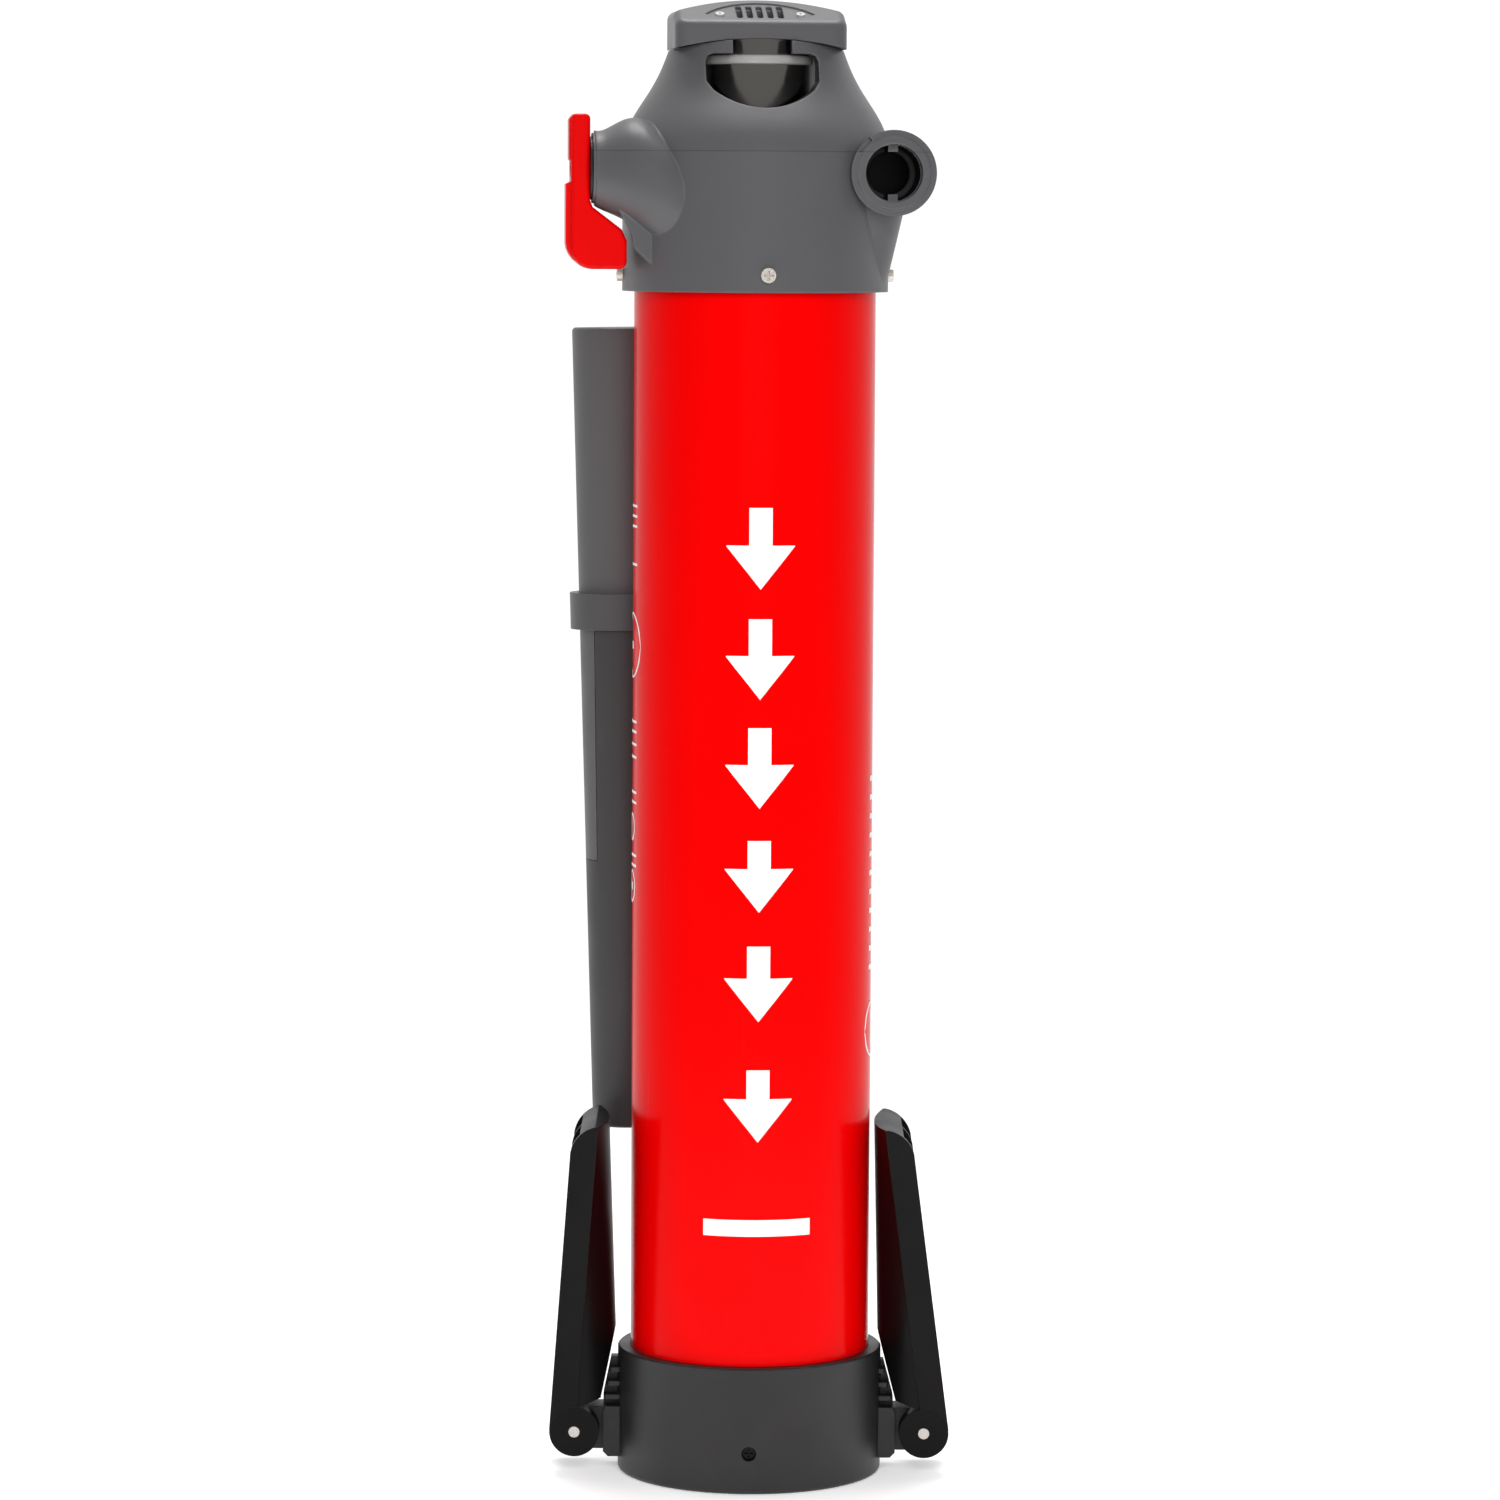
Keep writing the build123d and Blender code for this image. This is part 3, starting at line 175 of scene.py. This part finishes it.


class Recipe:
    """A material's node tree, built up from a few words."""

    def __init__(self, name):
        self.material = bpy.data.materials.new(name)
        self.material.use_nodes = True
        self.tree = self.material.node_tree
        self.shader = self.tree.nodes["Principled BSDF"]
        self.where = self.tree.nodes.new("ShaderNodeTexCoord").outputs["Object"]

    @classmethod
    def reopen(cls, material):
        """A recipe that goes on with a material already made."""
        recipe = cls.__new__(cls)
        recipe.material = material
        recipe.tree = material.node_tree
        recipe.shader = recipe.tree.nodes["Principled BSDF"]
        recipe.where = recipe.tree.nodes.new("ShaderNodeTexCoord").outputs["Object"]
        return recipe

    def node(self, kind, **settings):
        made = self.tree.nodes.new(kind)
        for key, value in settings.items():
            setattr(made, key, value)
        return made

    def link(self, source, target):
        self.tree.links.new(source, target)

    def scaled(self, scale):
        """The place on the surface, stretched along each axis."""
        mapping = self.node("ShaderNodeMapping")
        mapping.inputs["Scale"].default_value = scale
        self.link(self.where, mapping.inputs["Vector"])
        return mapping.outputs["Vector"]

    def noise(self, size_mm, detail=3.0, stretch=(1, 1, 1)):
        """Soft noise whose blotches are about this many millimetres across."""
        made = self.node("ShaderNodeTexNoise")
        made.inputs["Scale"].default_value = 1000.0 / size_mm
        made.inputs["Detail"].default_value = detail
        self.link(self.scaled(stretch), made.inputs["Vector"])
        return made.outputs["Fac"]

    def remap(self, value, low, high, to_low, to_high):
        made = self.node("ShaderNodeMapRange")
        for socket, number in zip(("From Min", "From Max", "To Min", "To Max"), (low, high, to_low, to_high)):
            made.inputs[socket].default_value = number
        self.link(value, made.inputs["Value"])
        return made.outputs["Result"]

    def math(self, operation, a, b):
        made = self.node("ShaderNodeMath", operation=operation)
        for socket, value in zip(made.inputs, (a, b)):
            if isinstance(value, (int, float)):
                socket.default_value = value
            else:
                self.link(value, socket)
        return made.outputs["Value"]

    def mix(self, factor, a, b):
        """One colour turning into another; each is a colour or a socket."""
        made = self.node("ShaderNodeMix", data_type="RGBA")
        self.link(factor, made.inputs["Factor"])
        for socket, value in zip((made.inputs[6], made.inputs[7]), (a, b)):
            if isinstance(value, tuple):
                socket.default_value = (*value, 1)
            else:
                self.link(value, socket)
        return made.outputs[2]

    def within(self, value, low, high, soft=0.0001):
        """1 where a value lies between two others, and 0 elsewhere."""
        above = self.remap(value, low - soft, low + soft, 0.0, 1.0)
        below = self.remap(value, high - soft, high + soft, 1.0, 0.0)
        return self.math("MULTIPLY", above, below)

    def down_bore(self, mount, start, end):
        """1 between two depths along a round mount's axis, within its radius, and 0 elsewhere."""
        axis = Vector(mount["axis"])
        mouth = Vector(mount["pos_m"])
        offset = self.node("ShaderNodeVectorMath", operation="SUBTRACT")
        self.link(self.where, offset.inputs[0])
        offset.inputs[1].default_value = mouth
        depth = self.node("ShaderNodeVectorMath", operation="DOT_PRODUCT")
        self.link(offset.outputs["Vector"], depth.inputs[0])
        depth.inputs[1].default_value = -axis
        across = self.node("ShaderNodeVectorMath", operation="CROSS_PRODUCT")
        self.link(offset.outputs["Vector"], across.inputs[0])
        across.inputs[1].default_value = axis
        radius = self.node("ShaderNodeVectorMath", operation="LENGTH")
        self.link(across.outputs["Vector"], radius.inputs[0])
        inside = self.within(radius.outputs["Value"], -1.0, mount["dims"]["r_mm"] / 1000.0)
        return self.math("MULTIPLY", inside, self.within(depth.outputs["Value"], start, end))

    def edges(self, radius_mm):
        """Nearly 1 along sharp edges and 0 on the flats."""
        bevel = self.node("ShaderNodeBevel", samples=4)
        bevel.inputs["Radius"].default_value = radius_mm / 1000.0
        plain = self.node("ShaderNodeNewGeometry")
        dot = self.node("ShaderNodeVectorMath", operation="DOT_PRODUCT")
        self.link(bevel.outputs["Normal"], dot.inputs[0])
        self.link(plain.outputs["Normal"], dot.inputs[1])
        return self.remap(dot.outputs["Value"], 0.995, 0.86, 0.0, 1.0)

    def rounded(self, radius_mm):
        """Normals that round off sharp edges."""
        bevel = self.node("ShaderNodeBevel", samples=4)
        bevel.inputs["Radius"].default_value = radius_mm / 1000.0
        return bevel.outputs["Normal"]

    def bump(self, height, depth_mm, normal=None):
        made = self.node("ShaderNodeBump")
        made.inputs["Distance"].default_value = depth_mm / 1000.0
        self.link(height, made.inputs["Height"])
        if normal is not None:
            self.link(normal, made.inputs["Normal"])
        return made.outputs["Normal"]

    def set(self, **sockets):
        """Sockets of the shader, by name with underscores for spaces."""
        for key, value in sockets.items():
            socket = self.shader.inputs[key.replace("_", " ")]
            if isinstance(value, bpy.types.NodeSocket):
                self.link(value, socket)
            elif isinstance(value, tuple):
                socket.default_value = (*value, 1)
            else:
                socket.default_value = value
        return self.material


def moulded_plastic(name, colour, rough, grain_mm=0.7, grain_depth=0.02, edge_mm=0.5, shine=0.5):
    """Moulded plastic with a fine grain, faint flow marks and rubbed edges."""
    r = Recipe(name)
    flow = r.noise(60, 4.0, (1, 1, 0.5))
    darker = tuple(c * 0.9 for c in colour)
    lighter = tuple(min(1.0, c * 1.1) for c in colour)
    body = r.mix(flow, darker, lighter)
    rub = r.math("MULTIPLY", r.edges(edge_mm), r.remap(r.noise(9, 4.0), 0.35, 0.65, 0.15, 1.0))
    rubbed = tuple(min(1.0, c * 1.5 + 0.02) for c in colour)
    patches = r.remap(r.noise(25, 5.0), 0.3, 0.7, rough - 0.05, rough + 0.06)
    grain = r.noise(grain_mm, 2.0)
    return r.set(
        Base_Color=r.mix(rub, body, rubbed),
        Roughness=patches,
        Normal=r.bump(grain, grain_depth, r.rounded(edge_mm)),
        Specular_IOR_Level=shine,
    )


def head_plastic(name, colour, rough):
    """The head's plastic, with a moulded parting line, and painted shade that turns the hose port's inside
    near-black.
    """
    material = moulded_plastic(name, colour, rough, edge_mm=1.2)
    r = Recipe.reopen(material)
    port = next(mount for mount in frame["record"]["mounts"] if mount["name"] == "hose_port")
    split = r.node("ShaderNodeSeparateXYZ")
    r.link(r.where, split.inputs["Vector"])
    line = r.within(split.outputs["Z"], SEAM_Z - SEAM_HALF, SEAM_Z + SEAM_HALF)
    body = r.shader.inputs["Base Color"].links[0].from_socket
    seamed = r.mix(r.math("MULTIPLY", line, 0.8), body, tuple(c * 0.35 for c in colour))
    # painted shade: near-black colour along the hose port's axis, where the bore lies in shadow, reaching the
    # head's outside behind it too
    black = r.down_bore(port, PORT_SHADE_START, PORT_SHADE_END)
    return r.set(Base_Color=r.mix(black, seamed, (0.0008, 0.0008, 0.0008)))


def painted_metal(name, colour, shine):
    """Gloss paint with a faint orange peel, fine dust and rubbing marks."""
    r = Recipe(name)
    peel = r.noise(5.0, 2.0)
    haze = r.noise(45, 5.0)
    scratches = r.remap(r.noise(1.2, 2.0, (1, 1, 0.05)), 0.66, 0.76, 0.0, 1.0)
    tone = r.mix(haze, tuple(c * 0.96 for c in colour), colour)
    rough = r.math("ADD", r.remap(haze, 0.3, 0.7, 0.16, 0.24), r.math("MULTIPLY", scratches, 0.08))
    return r.set(
        Base_Color=tone,
        Roughness=rough,
        Normal=r.bump(peel, 0.006, r.rounded(0.3)),
        Specular_IOR_Level=shine,
    )


def bare_metal(name, colour, rough, streak=(1, 1, 0.04), size_mm=0.8, metallic=1.0):
    """Turned or drawn metal with fine streaks."""
    r = Recipe(name)
    streaks = r.noise(size_mm, 3.0, streak)
    cloud = r.noise(20, 4.0)
    tone = r.mix(cloud, tuple(c * 0.88 for c in colour), colour)
    streaky = r.remap(streaks, 0.3, 0.7, rough - 0.04, rough + 0.06)
    roughness = r.math("ADD", streaky, r.math("MULTIPLY", cloud, 0.04))
    return r.set(
        Base_Color=tone,
        Roughness=roughness,
        Metallic=metallic,
        Normal=r.bump(streaks, 0.004, r.rounded(0.25)),
    )


def moulded_rubber(name, colour):
    """Black rubber with bloom."""
    r = Recipe(name)
    bloom = r.noise(6, 5.0)
    return r.set(
        Base_Color=r.mix(bloom, colour, tuple(c * 2.2 for c in colour)),
        Roughness=r.remap(bloom, 0.3, 0.7, 0.6, 0.8),
        Normal=r.bump(r.noise(0.5, 2.0), 0.02, r.rounded(0.3)),
    )


def make_materials():
    """Materials by the name of a slot, or of a node that looks different from the rest of its slot."""
    grey = (0.074, 0.073, 0.078)
    grip = (0.034, 0.033, 0.034)
    return {
        "red_paint": painted_metal("red_gloss_paint", (0.70, 0.0002, 0.0004), 0.05),
        "red_plastic": moulded_plastic(
            "red_lever_plastic", (0.56, 0.0002, 0.0004), 0.30, 1.2, 0.008, 0.8, 0.14
        ),
        "grey_plastic": moulded_plastic("grey_head_plastic", grey, 0.42, edge_mm=1.2),
        "head_casing": head_plastic("grey_casing_plastic", grey, 0.42),
        "dark_plastic": moulded_plastic("dark_base_plastic", (0.0115, 0.011, 0.012), 0.45),
        "black_plastic": moulded_plastic("black_foot_plastic", (0.0022, 0.0020, 0.0022), 0.42, shine=0.16),
        # painted light: the upper grip is the same grip plastic made about twice as light, standing in for
        # the extra light it catches; the lower grip keeps nearly the plain colour
        "upper_grip": moulded_plastic("upper_grip_painted_light_plastic", tuple(c * 2.2 for c in grip), 0.45),
        "lower_grip": moulded_plastic("lower_grip_plastic", tuple(c * 1.05 for c in grip), 0.5),
        "handle_clip": moulded_plastic("clip_plastic", (0.060, 0.059, 0.061), 0.45),
        "polished_metal": bare_metal("polished_shaft", (0.50, 0.48, 0.45), 0.16),
        "stop_collar": bare_metal("bright_collar", (0.55, 0.54, 0.53), 0.14, (1, 1, 1), 0.5, 0.5),
        "stainless": bare_metal("stainless_steel", (0.62, 0.60, 0.57), 0.26, (1, 1, 1), 0.5),
        "head_screws": bare_metal("plated_screws", (0.72, 0.66, 0.60), 0.24, (1, 1, 1), 0.5, 0.5),
        "vent_screws": bare_metal("plated_vent_screws", (0.66, 0.64, 0.62), 0.24, (1, 1, 1), 0.5, 0.5),
        "base_screws": bare_metal("blackened_screws", (0.02, 0.02, 0.02), 0.35, (1, 1, 1), 0.5),
        "aluminium": bare_metal("drawn_aluminium", (0.74, 0.74, 0.75), 0.32),
        "inner_plastic": moulded_plastic("white_nylon", (0.60, 0.60, 0.57), 0.5),
        "rubber": moulded_rubber("black_rubber", (0.012, 0.012, 0.012)),
    }


def dress(materials):
    """Every CAD node gets its own material, or its slot's."""
    slot_of = {part["node"]: part["material_slot"] for part in frame["record"]["subparts"]}
    for name, node in NODES.items():
        node.data.materials.clear()
        node.data.materials.append(materials.get(name) or materials[slot_of[name]])


# ---- Printed marks on the cylinder ----
PRINT_LIFT = 0.00004  # from the paint to the back of the ink
PRINT_T = 0.00010
PRINT_STEP = 0.0015  # the widest stretch of a mark that is left flat
RING_COLUMNS = 20
RING_SPARE = 1e-5  # keeps a circle's columns from closing to nothing at its two ends
FRONT_CENTRE = 0.0028  # of the arrows and the bar, round from the front
ARROWS_TOP = 0.3864
# Each arrow's gap to the next one down, and its height
ARROWS = (
    (0.0115, 0.0316),
    (0.0110, 0.0313),
    (0.0126, 0.0314),
    (0.0133, 0.0280),
    (0.0190, 0.0296),
    (0.0, 0.0284),
)
ARROW_HALF_W = 0.0134
ARROW_SHAFT_HALF = 0.0045
ARROW_HEAD = 0.017
ARROW_BARB = 0.0003  # how thick the head is at its two outer corners
BAR_HALF = 0.0215
BAR_LOW = 0.1015
BAR_HIGH = 0.1080
LEFT_CENTRE = -1.40 * TUBE_R
LINE_LEFT = 0.006  # a line's reach to either side of that
LINE_RIGHT = 0.005
LINE_HALF = 0.0005
LEFT_LINES = (0.385, 0.381, 0.377, 0.362, 0.300, 0.296, 0.291, 0.286, 0.272, 0.268, 0.247, 0.243)
LEFT_RINGS = ((0.330, 0.013), (0.258, 0.0055), (0.2345, 0.0065))  # height and radius
LEFT_RINGS_BACK = 0.003  # how far round from LEFT_CENTRE the rings and dots lie
LEFT_RING_LINE = 0.0008
LEFT_DOTS = (0.330, 0.2345)
DOT_HALF = 0.0015
RIGHT_CENTRE = 1.42 * TUBE_R
TICK_LEFT = 0.003
TICK_RIGHT = 0.006
TICKS = 11
TICK_TOP = 0.279
TICK_PITCH = 0.0075
TICK_T = 0.002
RIGHT_RING_ROUND = 0.002
RIGHT_RING_Z = 0.178
RIGHT_RING_R = 0.011
RIGHT_RING_LINE = 0.0010


def printed(name, columns, material):
    """Marks wrapped round the cylinder.

    A mark is made of columns. Each is (from, to, low at from, low at to, high at from, high at to), in
    metres. The first two are measured round the cylinder from the front to the right, the rest up it.
    """
    mesh = bmesh.new()

    def corner(along, height, radius):
        angle = along / TUBE_R
        return mesh.verts.new((radius * math.sin(angle), -radius * math.cos(angle), height))

    for start, end, low_start, low_end, high_start, high_end in columns:
        steps = max(1, math.ceil((end - start) / PRINT_STEP))
        rings = []
        for step in range(steps + 1):
            part = step / steps
            along = start + (end - start) * part
            low = low_start + (low_end - low_start) * part
            high = high_start + (high_end - high_start) * part
            back, front = TUBE_R + PRINT_LIFT, TUBE_R + PRINT_LIFT + PRINT_T
            section = ((low, back), (low, front), (high, front), (high, back))
            rings.append([corner(along, height, radius) for height, radius in section])
        for ring, following in zip(rings, rings[1:]):
            for side in range(4):
                after = (side + 1) % 4
                mesh.faces.new((ring[side], following[side], following[after], ring[after]))
        mesh.faces.new(rings[0][::-1])
        mesh.faces.new(rings[-1])
    bmesh.ops.recalc_face_normals(mesh, faces=mesh.faces)
    data = bpy.data.meshes.new(name)
    mesh.to_mesh(data)
    mesh.free()
    data.materials.append(material)
    piece = bpy.data.objects.new(name, data)
    SCENE.collection.objects.link(piece)
    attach(piece, "pump_body")
    return piece


def down_arrow(centre, top, foot, half_width, half_shaft, head):
    """A block arrow that points down."""
    neck = foot + head
    rise = head * half_shaft / half_width
    return [
        (centre - half_width, centre - half_shaft, neck - ARROW_BARB, foot + rise, neck, neck),
        (centre - half_shaft, centre, foot + rise, foot, top, top),
        (centre, centre + half_shaft, foot, foot + rise, top, top),
        (centre + half_shaft, centre + half_width, foot + rise, neck - ARROW_BARB, neck, neck),
    ]


def bar_mark(start, end, low, high):
    return (start, end, low, low, high, high)


def ring_mark(centre, height, radius, line):
    """A circle drawn as a thin line, as a row of narrow columns."""
    columns = []
    for step in range(RING_COLUMNS):
        ends = [-radius + 2 * radius * (step + extra) / RING_COLUMNS for extra in (0, 1)]
        outer = [math.sqrt(max(0.0, radius**2 - end**2)) for end in ends]
        inner_r = radius - line
        inner = [math.sqrt(max(0.0, inner_r**2 - end**2)) for end in ends]
        start, end = (centre + end for end in ends)
        low = [height + rise for rise in inner]
        high = [height + rise + RING_SPARE for rise in outer]
        columns.append((start, end, *low, *high))
        low = [height - rise - RING_SPARE for rise in outer]
        high = [height - rise for rise in inner]
        columns.append((start, end, *low, *high))
    return columns


def make_prints():
    ink = moulded_plastic("white_screen_print", (0.83, 0.82, 0.80), 0.5, 0.5, 0.004, 0.02, 0.3)
    arrows = []
    top = ARROWS_TOP
    for gap, height in ARROWS:
        arrows += down_arrow(FRONT_CENTRE, top, top - height, ARROW_HALF_W, ARROW_SHAFT_HALF, ARROW_HEAD)
        top -= height + gap
    printed("front_arrows", arrows, ink)
    bar = [bar_mark(FRONT_CENTRE - BAR_HALF, FRONT_CENTRE + BAR_HALF, BAR_LOW, BAR_HIGH)]
    printed("front_bar", bar, ink)
    left = LEFT_CENTRE
    marks = []
    for height in LEFT_LINES:
        marks.append(bar_mark(left - LINE_LEFT, left + LINE_RIGHT, height - LINE_HALF, height + LINE_HALF))
    rings = left - LEFT_RINGS_BACK
    for height, radius in LEFT_RINGS:
        marks += ring_mark(rings, height, radius, LEFT_RING_LINE)
    for height in LEFT_DOTS:
        marks.append(bar_mark(rings - DOT_HALF, rings + DOT_HALF, height - DOT_HALF, height + DOT_HALF))
    printed("left_scale", marks, ink)
    right = RIGHT_CENTRE
    ticks = []
    for row in range(TICKS):
        high = TICK_TOP - TICK_PITCH * row
        ticks.append(bar_mark(right - TICK_LEFT, right + TICK_RIGHT, high - TICK_T, high))
    ticks += ring_mark(right + RIGHT_RING_ROUND, RIGHT_RING_Z, RIGHT_RING_R, RIGHT_RING_LINE)
    printed("right_scale", ticks, ink)


make_camera()
make_studio()
dress(make_materials())
make_prints()
